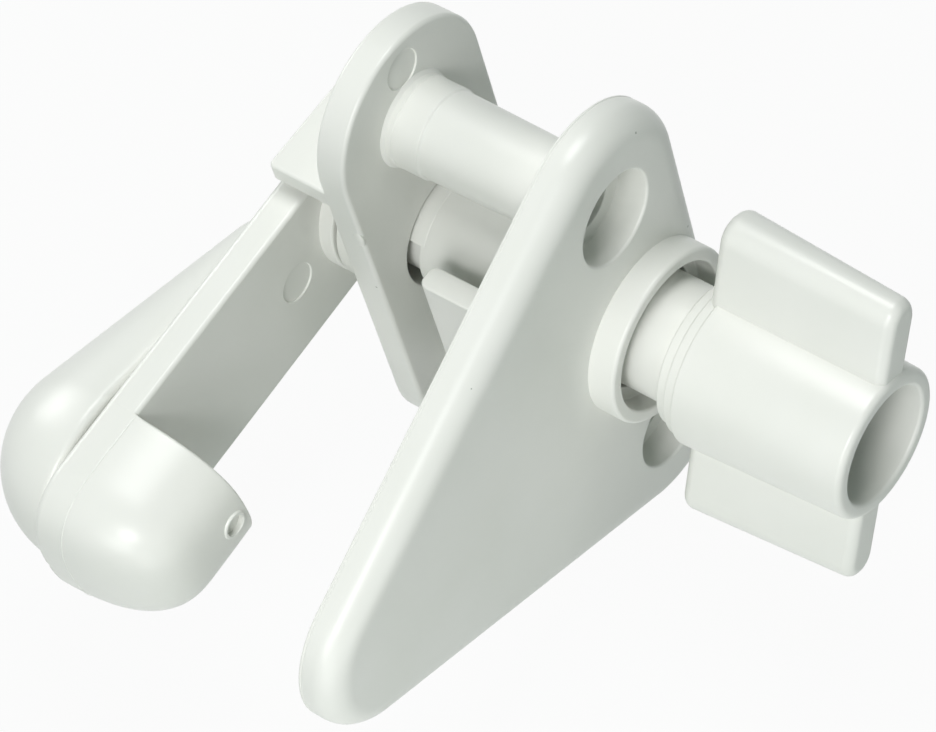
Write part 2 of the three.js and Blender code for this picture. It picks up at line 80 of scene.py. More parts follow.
SWAP_YZ = np.array([[1, 0, 0], [0, 0, 1], [0, 1, 0]])
WHITE = (1.0, 1.0, 1.0, 1.0)
MIX_FIRST, MIX_SECOND, MIX_RESULT = 6, 7, 2  # colour sockets of Blender's mix node
PIN_MM = (3.6, 0.3, 0.5, 0.15, 0.12)  # ejector pin: radius, depth, flat round it, two roundings
WAVE_RATE = 20.0  # radians that Blender's wave texture turns in one unit


class Body(Enum):
    """The two bodies of the latch."""

    FRAME = "gate_frame"
    TURNING = "turning_set"


class Slot(Enum):
    """Material slots named in the record."""

    PLASTIC = "white_plastic"
    STEEL = "zinc_steel"


# Surfaces


@dataclass(frozen=True)
class Surface:
    """Points in millimetres and blocks of faces, each block an array of point numbers."""

    points: Array
    faces: tuple[Array, ...]

    def mapped(self, axes: Array) -> "Surface":
        """The surface with its three axes laid along the rows of a matrix."""
        return Surface(self.points @ axes, self.faces)

    def turned(self, degrees: float) -> "Surface":
        """The surface turned about the Y axis, +Z towards +X being positive."""
        c, s = math.cos(math.radians(degrees)), math.sin(math.radians(degrees))
        return self.mapped(np.array([[c, 0, -s], [0, 1, 0], [s, 0, c]]))


@dataclass(frozen=True)
class Outline:
    """A closed line in the X-Z plane with the outward normal at each of its points."""

    points: Array
    normals: Array

    def inset(self, depth: float) -> Array:
        """The line moved inwards along its normals."""
        return self.points - depth * self.normals


def joined(*parts: Surface) -> Surface:
    """Several surfaces as one, their point numbers shifted past one another.

    Args:
        parts: the surfaces.

    Returns:
        All of them as one.
    """
    starts = np.cumsum([0, *[len(part.points) for part in parts]])
    faces = tuple(block + start for part, start in zip(parts, starts) for block in part.faces)
    return Surface(np.concatenate([part.points for part in parts]), faces)


def unit(vectors: Array) -> Array:
    """Vectors along the last axis at length one; those of no length stay so."""
    return vectors / np.maximum(np.linalg.norm(vectors, axis=-1, keepdims=True), TINY)


def grid(points: Array, wrap: bool) -> Surface:
    """A surface from a two-parameter grid of points, with a four-sided face in each of its cells.

    Args:
        points: rows x columns x 3 coordinates.
        wrap: joins the last column to the first.

    Returns:
        The grid as a surface.
    """
    rows, columns = points.shape[:2]
    number = np.arange(rows * columns).reshape(rows, columns)
    here = number if wrap else number[:, :-1]
    beside = np.roll(number, -1, axis=1) if wrap else number[:, 1:]
    quads = np.stack([here[:-1], beside[:-1], beside[1:], here[1:]], axis=-1).reshape(-1, 4)
    return Surface(points.reshape(-1, 3), (quads,))


def spot(x: float = 0.0, z: float = 0.0, steps: int = 112) -> Outline:
    """An outline of no size: its normals point all round, so an inset of -r is a circle of radius r."""
    angle = np.linspace(0.0, 2 * math.pi, steps, endpoint=False)
    return Outline(np.tile([x, z], (steps, 1)), np.stack([np.cos(angle), np.sin(angle)], axis=1))


def disc(radius: float) -> Outline:
    """A circle about the Y axis as an outline."""
    centre = spot()
    return Outline(centre.inset(-radius), centre.normals)


def hull(circles: Sequence[Triple], steps: int = 40) -> Outline:
    """The outline of a taut band round circles.

    On each circle an arc runs from the normal of the straight tangent before it to that of the next one;
    a tangent's normal leans from the line of centres by the angle whose sine is the radii's difference
    over the distance.

    Args:
        circles: (x, z, radius) of each circle, anticlockwise.
        steps: points on each arc.

    Returns:
        The outline.
    """
    here = np.asarray(circles, float)
    ahead = np.roll(here, -1, axis=0)
    gap = ahead[:, :2] - here[:, :2]
    lean = np.arcsin((here[:, 2] - ahead[:, 2]) / np.hypot(gap[:, 0], gap[:, 1]))
    leave = np.arctan2(gap[:, 1], gap[:, 0]) - math.pi / 2 + lean
    enter = np.roll(leave, 1)
    sweep = np.mod(leave - enter, 2 * math.pi)
    angle = enter[:, None] + sweep[:, None] * np.linspace(0.0, 1.0, steps)
    normals = np.stack([np.cos(angle), np.sin(angle)], axis=-1)
    points = here[:, None, :2] + here[:, None, 2:] * normals
    return Outline(points.reshape(-1, 2), normals.reshape(-1, 2))


def rounded(corners: Sequence[Triple], closed: bool = True, steps: int = 7) -> Array:
    """A line through corners, each turned into an arc that touches both of its sides.

    The arc's middle lies on the corner's bisector at radius / sin(half angle), and its points are the
    spherical blend of the two radii to the touching points.

    Args:
        corners: (first coordinate, second coordinate, radius) of each corner; radius 0 keeps it sharp.
        closed: repeats the first point at the end.
        steps: points on each arc.

    Returns:
        An array of points, two columns.
    """
    table = np.asarray(corners, float)
    place, radius = table[:, :2], table[:, 2:]
    back = unit(np.roll(place, 1, axis=0) - place)
    on = unit(np.roll(place, -1, axis=0) - place)
    half = np.arccos(np.clip((back * on).sum(axis=1, keepdims=True), -1.0, 1.0)) / 2
    half = np.clip(half, LEAST_TURN, math.pi / 2 - LEAST_TURN)
    centre = place + unit(back + on) * radius / np.sin(half)
    first = place + back * radius / np.tan(half) - centre
    last = place + on * radius / np.tan(half) - centre
    sweep = (math.pi - 2 * half)[:, None]
    share = np.linspace(0.0, 1.0, steps)[None, :, None]
    blend = np.sin((1 - share) * sweep) * first[:, None] + np.sin(share * sweep) * last[:, None]
    line = (centre[:, None] + blend / np.sin(sweep)).reshape(-1, 2)
    return np.concatenate([line, line[:1]]) if closed else line


def edge(front: float, back: float, front_round: float, back_round: float, steps: int = 12) -> Array:
    """Rows (inset, y) of a plate's edge: quarter circles at front and back, and a row on each flat face.

    Args:
        front: y of the front face.
        back: y of the back face.
        front_round: radius of the front rounding.
        back_round: radius of the back rounding.
        steps: rows in each rounding.

    Returns:
        The rows, front to back.
    """
    turn = np.linspace(0.0, math.pi / 2, steps)
    rise = np.stack([front_round * (1 - np.sin(turn)), front + front_round * (1 - np.cos(turn))], axis=1)
    fall = np.stack([back_round * (1 - np.cos(turn)), back - back_round * (1 - np.sin(turn))], axis=1)
    lead = [[front_round + FACE_ROW_MM, front]]
    tail = [[back_round + FACE_ROW_MM, back]]
    return np.concatenate([lead, rise, fall, tail])


def swept(outline: Outline, profile: Array) -> Surface:
    """A profile of (inset, y) rows carried round an outline: each row is the outline inset at that y."""
    x, z = np.moveaxis(outline.points[None] - profile[:, None, :1] * outline.normals[None], -1, 0)
    return grid(np.stack([x, np.broadcast_to(profile[:, 1:], x.shape), z], axis=-1), wrap=True)


def lathe(corners: Sequence[Triple], x: float = 0.0, z: float = 0.0) -> Surface:
    """A ring about an axis along Y: a closed line of (radius, y, rounding) corners carried round it."""
    return swept(spot(x, z), rounded(corners) * [-1.0, 1.0])


def bore(corners: Sequence[Triple], x: float = 0.0, z: float = 0.0) -> Hole:
    """A round hole for a plate: its (radius, y, rounding) corners from the front face to the back."""
    return spot(x, z), rounded(corners, closed=False) * [-1.0, 1.0]


def within(loop: Array, places: Array) -> Array:
    """Which places lie inside a convex loop: on one and the same side of all its edges.

    Args:
        loop: the loop's points in order.
        places: points to test.

    Returns:
        A truth value for each place.
    """
    step = np.roll(loop, -1, axis=0) - loop
    away = places[:, None] - loop[None]
    side = step[:, 0] * away[..., 1] - step[:, 1] * away[..., 0]
    return np.all(side > 0, axis=1) | np.all(side < 0, axis=1)


def flat_face(loops: Sequence[Array], y: float) -> Surface:
    """A flat face between loops of points: triangles over all of them, less those inside a hole.

    Args:
        loops: the convex outer loop, then the convex loops of the holes.
        y: height of the face.

    Returns:
        The face as triangles.
    """
    lengths = [len(loop) for loop in loops]
    starts = np.cumsum([0, *lengths[:-1]])
    ring = [np.stack([np.arange(n), np.roll(np.arange(n), -1)], axis=1) for n in lengths]
    edges = np.concatenate([pairs + start for pairs, start in zip(ring, starts)])
    spots = [Vector(place) for place in np.concatenate(loops).tolist()]
    made = delaunay_2d_cdt(spots, edges.tolist(), [], CDT_HULL, CDT_MM)
    places = np.array([tuple(place) for place in made[0]])
    triangles = np.array(made[2])
    middle = places[triangles].mean(axis=1)
    keep = np.all([~within(loop, middle) for loop in loops[1:]] or [np.ones(len(middle), bool)], axis=0)
    points = np.stack([places[:, 0], np.full(len(places), y), places[:, 1]], axis=1)
    return Surface(points, (triangles[keep],))


def plate(outline: Outline, rim: Array, holes: Sequence[Hole] = ()) -> Surface:
    """A flat plate: its edge profile carried round the outline, two flat faces, and holes.

    Args:
        outline: the plate's outline.
        rim: (inset, y) rows of its edge, front to back.
        holes: an outline and its (inset, y) rows, front to back, for each hole;
            one whose rows end before the back face is blind.

    Returns:
        The closed surface.
    """
    walls = [(outline, rim), *holes]
    through = [wall for wall in walls if abs(wall[1][-1, 1] - rim[-1, 1]) < SAME_MM]
    front = flat_face([line.inset(rows[0, 0]) for line, rows in walls], rim[0, 1])
    back = flat_face([line.inset(rows[-1, 0]) for line, rows in through], rim[-1, 1])
    return joined(*[swept(line, rows) for line, rows in walls], front, back)


def slab(low: Pair, high: Pair, ends: Pair, rounds: Pair) -> Surface:
    """A box along Z on a rectangle in the X-Y plane, its corners and its end edges rounded.

    Args:
        low: least x and y.
        high: greatest x and y.
        ends: least and greatest z.
        rounds: radii of the corners and of the end edges.

    Returns:
        The closed surface.
    """
    corner, rim = rounds
    (a, b), (c, d) = np.add(low, corner), np.subtract(high, corner)
    outline = hull([(a, b, corner), (c, b, corner), (c, d, corner), (a, d, corner)], steps=9)
    return plate(outline, edge(*ends, rim, rim)).mapped(SWAP_YZ)


def arc_bar(low: Pair, high: Pair, start: float, end: float, corner: float, steps: int = 40) -> Surface:
    """A piece of a ring about the Y axis: a rounded rectangle of (radius, y) carried through an angle.

    Args:
        low: least radius and y.
        high: greatest radius and y.
        start: first angle in degrees, from +X towards +Z.
        end: last angle.
        corner: radius of the long edges.
        steps: sections along it.

    Returns:
        The closed surface.
    """
    (a, b), (c, d) = low, high
    line = rounded([(a, b, corner), (c, b, corner), (c, d, corner), (a, d, corner)], closed=False)
    angle = np.radians(np.linspace(start, end, steps))[:, None]
    radius, y = line[None, :, 0], line[None, :, 1]
    points = np.stack([radius * np.cos(angle), y + 0 * angle, radius * np.sin(angle)], axis=-1)
    body = grid(points, wrap=True)
    first = np.arange(len(line))[None]
    return Surface(body.points, (*body.faces, first, first + (steps - 1) * len(line)))


def half_shell(points: Array) -> Surface:
    """A grid whose first and last columns lie in one flat face, closed there and across its first row.

    Args:
        points: rows x columns x 3 coordinates.

    Returns:
        The closed surface.
    """
    body = grid(points, wrap=False)
    rows, columns = points.shape[:2]
    first = np.arange(rows) * columns
    last = first + columns - 1
    floor = np.stack([first[:-1], first[1:], last[1:], last[:-1]], axis=1)
    return Surface(body.points, (*body.faces, floor, np.arange(columns)[None]))


def pin_mark(x: float, z: float, face: float) -> Hole:
    """The shallow round recess that an ejector pin leaves in a face towards -Y.

    Args:
        x: its place along X.
        z: its place along Z.
        face: y of the face.

    Returns:
        The recess as a blind hole for a plate.
    """
    radius, depth, margin, brim, foot = PIN_MM
    wall = (radius, face, brim), (radius, face + depth, foot)
    return bore([(radius + margin, face, 0.0), *wall, (0.0, face + depth, 0.0)], x, z)


def nub(place: Triple, half: Triple, steps: tuple[int, int] = (24, 13)) -> Surface:
    """A small ellipsoid, such as the stub that a moulding gate leaves: the grid of a stretched ball.

    Args:
        place: its middle.
        half: its half sizes.
        steps: points round it and from pole to pole.

    Returns:
        The closed surface.
    """
    around = np.linspace(0.0, 2 * math.pi, steps[0], endpoint=False)[None]
    down = np.linspace(0.0, math.pi, steps[1])[:, None]
    ring = np.sin(down)
    ball = np.stack([ring * np.cos(around), np.cos(down) + 0 * around, ring * np.sin(around)], axis=-1)
    return grid(ball * half + place, wrap=True)


# Finishes


def linear(colour: str) -> Quad:
    """An sRGB colour such as #F0EFEA as linear RGBA, by the curve of the sRGB standard."""
    part = np.array([int(colour[i:i + 2], 16) for i in (1, 3, 5)]) / 255
    return (*np.where(part <= 0.04045, part / 12.92, ((part + 0.055) / 1.055) ** 2.4).tolist(), 1.0)


def add_node(
    tree: Tree,
    kind: str,
    values: dict[str | int, Any] | None = None,
    links: dict[str | int, Socket] | None = None,
    output: str | int = 0,
    **settings: Any,
) -> Socket | None:
    """Adds a shader node.

    Args:
        tree: node tree that takes it.
        kind: Blender's name of the node type, without its first word, ShaderNode.
        values: constant input values by socket.
        links: sockets that feed inputs.
        output: the output that is wanted.
        settings: the node's own properties.

    Returns:
        That output, or None from a node without any.
    """
    made = tree.nodes.new(f"ShaderNode{kind}")
    for name, value in settings.items():
        setattr(made, name, value)
    for name, value in (values or {}).items():
        made.inputs[name].default_value = value
    for name, socket in (links or {}).items():
        tree.links.new(socket, made.inputs[name])
    return made.outputs[output] if made.outputs else None


def blank_material(name: str) -> tuple[bpy.types.Material, Tree]:
    """A new material with an empty node tree.

    Args:
        name: the material's name.

    Returns:
        The material and its tree.
    """
    material = bpy.data.materials.new(name)
    material.use_nodes = True
    material.node_tree.nodes.clear()
    return material, material.node_tree


def per_metre(size_mm: float) -> float:
    """Pattern scale that gives features of a size in millimetres."""
    return 1.0 / (size_mm * MM)


def noise(tree: Tree, place: Socket, size_mm: float, detail: float) -> Socket:
    """A cloudy pattern from 0 to 1 with features of a size in millimetres."""
    values = {"Scale": per_metre(size_mm), "Detail": detail}
    return add_node(tree, "TexNoise", values, {"Vector": place}, "Fac")


@dataclass(frozen=True)
class MouldedPlastic:
    """Glossy injection-moulded plastic with a faint flow mottle, soft waviness and a few dark specks."""

    name: str = "white_moulded_polypropylene"
    colour: str = "#E7E7E3"
    mottle_colour: str = "#E0E1DB"
    speck_colour: str = "#A9ADA4"
    roughness: Pair = (0.27, 0.37)
    ior: float = 1.49
    mottle_mm: float = 16.0
    wave_mm: float = 9.0
    wave_height_mm: float = 0.012
    grain_mm: float = 0.5
    grain_height_mm: float = 0.0012
    speck_spacing_mm: float = 11.0
    speck_radius: float = 0.022

    def material(self) -> bpy.types.Material:
        """The plastic as a procedural material.

        The eye gets a clean off-white with soft broad highlights that waver a little on flat faces.

        Returns:
            The material.
        """
        material, tree = blank_material(self.name)
        place = add_node(tree, "TexCoord", output="Object")
        cloud = noise(tree, place, self.mottle_mm, detail=3.0)
        wave = noise(tree, place, self.wave_mm, detail=1.0)
        grain = noise(tree, place, self.grain_mm, detail=2.0)
        colours = {MIX_FIRST: linear(self.colour), MIX_SECOND: linear(self.mottle_colour)}
        body = add_node(tree, "Mix", colours, {0: cloud}, MIX_RESULT, data_type="RGBA")
        scale = {"Scale": per_metre(self.speck_spacing_mm)}
        cells = add_node(tree, "TexVoronoi", scale, {"Vector": place}, "Distance")
        least = {1: self.speck_radius}
        speck = add_node(tree, "Math", least, {0: cells}, operation="LESS_THAN")
        dots, under = {MIX_SECOND: linear(self.speck_colour)}, {0: speck, MIX_FIRST: body}
        tint = add_node(tree, "Mix", dots, under, MIX_RESULT, data_type="RGBA")
        ends = dict(zip(("To Min", "To Max"), self.roughness))
        gloss = add_node(tree, "MapRange", ends, {"Value": cloud})
        height = {"Distance": self.wave_height_mm * MM}
        swell = add_node(tree, "Bump", height, {"Height": wave})
        height, links = {"Distance": self.grain_height_mm * MM}, {"Height": grain, "Normal": swell}
        relief = add_node(tree, "Bump", height, links)
        links = {"Base Color": tint, "Roughness": gloss, "Normal": relief}
        shader = add_node(tree, "BsdfPrincipled", {"IOR": self.ior}, links)
        add_node(tree, "OutputMaterial", links={"Surface": shader})
        return material


@dataclass(frozen=True)
class PlatedSteel:
    """Bright zinc-plated steel with fine turning scratches and a mild patchy dullness."""

    name: str = "zinc_plated_steel"
    colour: str = "#C6C8C9"
    dull_colour: str = "#AEB0AE"
    roughness: Pair = (0.24, 0.42)
    patch_mm: float = 2.2
    scratch_mm: float = 0.18
    scratch_height_mm: float = 0.004
    scratch_waver: float = 1.5

    def material(self) -> bpy.types.Material:
        """The steel as a procedural material: a cool grey metal whose highlights break into fine rings.

        Returns:
            The material.
        """
        material, tree = blank_material(self.name)
        place = add_node(tree, "TexCoord", output="Object")
        patch = noise(tree, place, self.patch_mm, detail=4.0)
        values = {"Scale": per_metre(self.scratch_mm) / WAVE_RATE, "Distortion": self.scratch_waver}
        kind = {"wave_type": "RINGS", "rings_direction": "Y"}
        rings = add_node(tree, "TexWave", values, {"Vector": place}, "Fac", **kind)
        colours = {MIX_FIRST: linear(self.colour), MIX_SECOND: linear(self.dull_colour)}
        tint = add_node(tree, "Mix", colours, {0: patch}, MIX_RESULT, data_type="RGBA")
        ends = dict(zip(("To Min", "To Max"), self.roughness))
        gloss = add_node(tree, "MapRange", ends, {"Value": patch})
        height = {"Distance": self.scratch_height_mm * MM}
        relief = add_node(tree, "Bump", height, {"Height": rings})
        links = {"Base Color": tint, "Roughness": gloss, "Normal": relief}
        shader = add_node(tree, "BsdfPrincipled", {"Metallic": 1.0}, links)
        add_node(tree, "OutputMaterial", links={"Surface": shader})
        return material


# Pieces


def new_mesh(name: str, surface: Surface) -> bpy.types.Mesh:
    """A mesh in metres: equal points welded, faces turned outwards, smooth but for real corners.

    Args:
        name: the mesh's name.
        surface: its shape in millimetres.

    Returns:
        The mesh.
    """
    mesh = bpy.data.meshes.new(name)
    faces = [row for block in surface.faces for row in block.tolist()]
    mesh.from_pydata((surface.points * MM).tolist(), [], faces)
    work = bmesh.new()
    work.from_mesh(mesh)
    bmesh.ops.remove_doubles(work, verts=work.verts, dist=WELD_MM * MM)
    bmesh.ops.recalc_face_normals(work, faces=work.faces)
    work.to_mesh(mesh)
    work.free()
    mesh.shade_smooth()
    mesh.set_sharp_from_angle(angle=math.radians(SHARP_DEG))
    return mesh


def placed(name: str, data: bpy.types.ID) -> bpy.types.Object:
    """Puts a new object into the scene.

    Args:
        name: the object's name.
        data: its mesh, light or camera.

    Returns:
        The object.
    """
    made = bpy.data.objects.new(name, data)
    bpy.context.scene.collection.objects.link(made)
    return made


def add_piece(node: str, surface: Surface, body: Body, material: bpy.types.Material) -> None:
    """Adds a plastic piece that stands for a CAD node and rides a body.

    Args:
        node: CAD node that it stands for and is named after.
        surface: its shape in the CAD frame.
        body: body that it moves with.
        material: its finish.
    """
    name = f"{node}_moulding"
    piece = placed(name, new_mesh(name, surface))
    piece.data.materials.append(material)
    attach(piece, body.value)
    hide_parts(node)
    LOG.info("%s: %d faces", name, len(piece.data.polygons))


def carved(body: Surface, cutter: Surface) -> Surface:
    """A closed surface less another one, for a hole that its own grid can't have.

    Args:
        body: the surface that is cut, as one closed skin.
        cutter: the closed surface to take away.

    Returns:
        What is left, as triangles.
    """
    objects = [placed("carve", new_mesh("carve", part)) for part in (body, cutter)]
    cut = objects[0].modifiers.new("hole", "BOOLEAN")
    cut.operation = "DIFFERENCE"
    cut.solver = "EXACT"
    cut.object = objects[1]
    left = objects[0].evaluated_get(bpy.context.evaluated_depsgraph_get()).to_mesh()
    left.calc_loop_triangles()
    points = np.empty(3 * len(left.vertices))
    left.vertices.foreach_get("co", points)
    triangles = np.empty(3 * len(left.loop_triangles), dtype=np.int32)
    left.loop_triangles.foreach_get("vertices", triangles)
    for part in objects:
        bpy.data.meshes.remove(part.data)
    return Surface(points.reshape(-1, 3) / MM, (triangles.reshape(-1, 3),))


@dataclass
class FrontPlate:
    """The tailed plate on the near side of the gate, with its collar and the two ribs behind."""

    face: float = -40.0
    back: float = -33.0
    end_radius: float = 17.9
    post_z: float = 30.0
    tail_reach: float = 67.8
    tail_radius: float = 16.0
    edge_round: float = 4.6
    well: float = 8.3
    well_floor: float = 1.2
    well_round: Pair = (0.5, 0.2)  # mouth, inner corners
    screw_hole: float = 5.2
    face_row: Pair = (1.2, 0.6)  # flat face kept round a well, in front and behind
    back_round: float = 0.3
    parting: Triple = (-33.6, 0.1, 0.09)  # y, half width, depth
    stem_hole: float = 10.9
    lining: Triple = (0.3, 0.5, 0.01)  # lap on the hole; outer and inner ends from the back
    collar: Triple = (13.2, 15.6, -45.0)  # inner radius, outer radius, front
    cup_floor: float = -40.8
    rib: Quad = (12.9, 17.3, 24.0, 11.5)  # least x, greatest x, length, half height
    rib_lap: float = 2.0
    rib_round: Pair = (1.6, 0.35)  # corners, edges
    stub: tuple[Triple, Triple] = ((17.5, -36.6, 16.6), (0.4, 0.6, 1.3))  # middle, half sizes

    def build(self) -> Surface:
        """The plate with its collar, ribs and gate stub.

        Returns:
            Its surface.
        """
        ends = [(0.0, z, self.end_radius) for z in (-self.post_z, self.post_z)]
        outline = hull([*ends, (-self.tail_reach, 0.0, self.tail_radius)])
        liner = self.stem_hole + self.lining[0]
        middle = bore([(liner, self.face, 0.0), (liner, self.back, 0.0)])
        floor = self.back - self.well_floor
        mouth, inner = self.well_round
        line = [
            (self.well + self.face_row[0], self.face, 0.0),
            (self.well, self.face, mouth),
            (self.well, floor, inner),
            (self.screw_hole, floor, inner),
            (self.screw_hole, self.back, inner),
            (self.screw_hole + self.face_row[1], self.back, 0.0),
        ]
        wells = [bore(line, z=z) for z in (self.post_z, -self.post_z)]
        rim = edge(self.face, self.back, self.edge_round, self.back_round)
        place, half, depth = self.parting
        section = ((0.0, -2), (depth, -1), (depth, 1), (0.0, 2))
        groove = [[inset, place + side * half] for inset, side in section]
        before = int(np.searchsorted(rim[:, 1], place))
        body = plate(outline, np.concatenate([rim[:before], groove, rim[before:]]), [middle, *wells])
        return joined(body, self.collar_ring(), self.one_rib(1), self.one_rib(-1), nub(*self.stub))

    def collar_ring(self) -> Surface:
        """The collar in front of the plate, with its cup, lining the stem's hole.

        Returns:
            Its surface.
        """
        inner, outer, top = self.collar
        _, outer_end, inner_end = self.lining
        line = [
            (self.stem_hole, self.cup_floor, 0.3),
            (inner, self.cup_floor, 0.4),
            (inner, top, 0.5),
            (outer, top, 0.7),
            (outer, self.back - outer_end, 0.0),
            (self.stem_hole, self.back - inner_end, 0.0),
        ]
        return lathe(line)

    def one_rib(self, side: int) -> Surface:
        """One rib behind the plate, rounded at its free end.

        Args:
            side: 1 for the rib towards +X, -1 for the other.

        Returns:
            Its surface.
        """
        inner, outer, length, half = self.rib
        low, high = sorted((side * inner, side * outer))
        root, end = self.back - self.rib_lap, self.back + length
        return slab((low, root), (high, end), (-half, half), self.rib_round)


@dataclass
class RearPlate:
    """The round-ended plate on the far side, with the spindle's bearing, stop key and stop shelf."""

    thickness: float = 5.75
    end_radius: float = 17.9
    post_z: float = 30.0
    edge_round: float = 0.8
    hole: float = 11.1
    hole_depth: float = 9.5
    journal_hole: float = 9.1
    boss_radius: float = 14.5
    boss_end: float = 12.6
    face_row: Pair = (1.0, 1.2)  # flat face kept round the hole and round the boss
    socket: float = 6.3
    socket_chamfer: float = 0.3
    key: Pair = (-35.0, 6.0)  # first and last angle
    key_clear: Pair = (0.3, 0.1)  # from the journal's hole and from the front
    key_sunk: Pair = (0.5, 0.3)  # into the hole's wall and its floor
    key_round: float = 0.3
    shelf: Quad = (14.3, 16.0, 20.0, 22.15)  # half width, least z, greatest z, end
    shelf_lap: float = 1.0
    shelf_round: Pair = (1.1, 0.6)  # corners, edges
    pin_mark: Pair = (1.0, 41.9)
    stub: tuple[Triple, Triple] = ((-17.75, 0.9, 17.9), (0.5, 1.1, 1.9))  # middle, half sizes

    def build(self) -> Surface:
        """The plate with its boss, stop key, stop shelf and gate stub.

        Returns:
            Its surface.
        """
        ends = [(0.0, z, self.end_radius) for z in (-self.post_z, self.post_z)]
        outline = hull(ends, steps=60)
        line = [
            (self.hole + self.face_row[0], 0.0, 0.0),
            (self.hole, 0.0, 0.4),
            (self.hole, self.hole_depth, 0.0),
            (self.journal_hole, self.hole_depth, 0.0),
            (self.journal_hole, self.boss_end, 0.3),
            (self.boss_radius, self.boss_end, 0.6),
            (self.boss_radius, self.thickness, 0.6),
            (self.boss_radius + self.face_row[1], self.thickness, 0.0),
        ]
        middle = bore(line)
        chamfer = self.socket_chamfer
        mouth = [(self.socket + chamfer, 0.0, 0.0), (self.socket, chamfer, 0.0)]
        wall = [*mouth, (self.socket, self.thickness, 0.0)]
        sockets = [bore(wall, z=z) for z in (self.post_z, -self.post_z)]
        mark = pin_mark(*self.pin_mark, face=0.0)
        rim = edge(0.0, self.thickness, self.edge_round, self.edge_round)
        body = plate(outline, rim, [middle, *sockets, mark])
        low = (self.journal_hole + self.key_clear[0], self.key_clear[1])
        high = (self.hole + self.key_sunk[0], self.hole_depth + self.key_sunk[1])
        key = arc_bar(low, high, *self.key, self.key_round)
        return joined(body, self.stop_shelf(), key, nub(*self.stub))

    def stop_shelf(self) -> Surface:
        """The shelf behind the plate that stops the lever's bar."""
        half, low, high, end = self.shelf
        return slab((-half, self.thickness - self.shelf_lap), (half, end), (low, high), self.shelf_round)


@dataclass
class Post:
    """A hollow post with a stepped foot on the rear plate and a light taper."""

    z: float
    tip: float = -32.7
    tip_radius: float = 7.3
    root_radius: float = 7.7
    foot_radius: float = 8.0
    foot: float = 0.02
    step: float = -7.0
    step_length: float = 0.3
    heel: Pair = (8.12, -1.6)  # radius, front
    heel_step: float = 0.12
    flare: Pair = (0.5, 0.6)  # where the foot meets the plate: outwards, along
    wall: float = 2.1
    spigot: Pair = (6.0, 5.75)  # radius, end

    def build(self) -> Surface:
        """The post as a turned ring.

        Returns:
            Its surface.
        """
        inner = self.tip_radius - self.wall
        radius, end = self.spigot
        line = [
            (inner, self.tip, 0.4),
            (self.tip_radius, self.tip, 0.6),
            (self.root_radius, self.step, 0.3),
            (self.foot_radius, self.step + self.step_length, 0.3),
            (self.foot_radius, self.heel[1] - self.heel_step, 0.1),
            (self.heel[0], self.heel[1], 0.1),
            (self.heel[0], self.foot - self.flare[1], 0.2),
            (self.heel[0] + self.flare[0], self.foot, 0.0),
            (radius, self.foot, 0.1),
            (radius, end, 0.3),
            (inner, end, 0.3),
        ]
        return lathe(line, z=self.z)


@dataclass
class Spindle:
    """The hollow stem with its journal and stop lug."""

    front: float = -65.4
    radius: float = 10.3
    bore_radius: float = 7.4
    shoulder: float = -1.6
    journal: float = 8.8
    journal_end: float = 13.2
    drive: Pair = (5.4, 19.2)  # radius, end
    screw_hole: float = 3.3
    web: float = -6.1
    lug: Pair = (8.0, 142.0)  # first and last angle
    lug_low: Pair = (7.8, -2.6)  # least radius and y
    lug_high: Pair = (10.4, 8.9)  # greatest radius and y
    lug_round: float = 0.3

    def build(self) -> Surface:
        """The stem as a turned ring, with the lug on its journal.

        Returns:
            Its surface.
        """
        half, end = self.drive
        line = [
            (self.bore_radius, self.front, 0.3),
            (self.radius, self.front, 0.3),
            (self.radius, self.shoulder, 0.3),
            (self.journal, self.shoulder, 0.2),
            (self.journal, self.journal_end, 0.3),
            (half, self.journal_end, 0.2),
            (half, end, 0.2),
            (self.screw_hole, end, 0.2),
            (self.screw_hole, self.web, 0.2),
            (self.bore_radius, self.web, 0.2),
        ]
        stem = lathe(line)
        return joined(stem, arc_bar(self.lug_low, self.lug_high, *self.lug, self.lug_round))


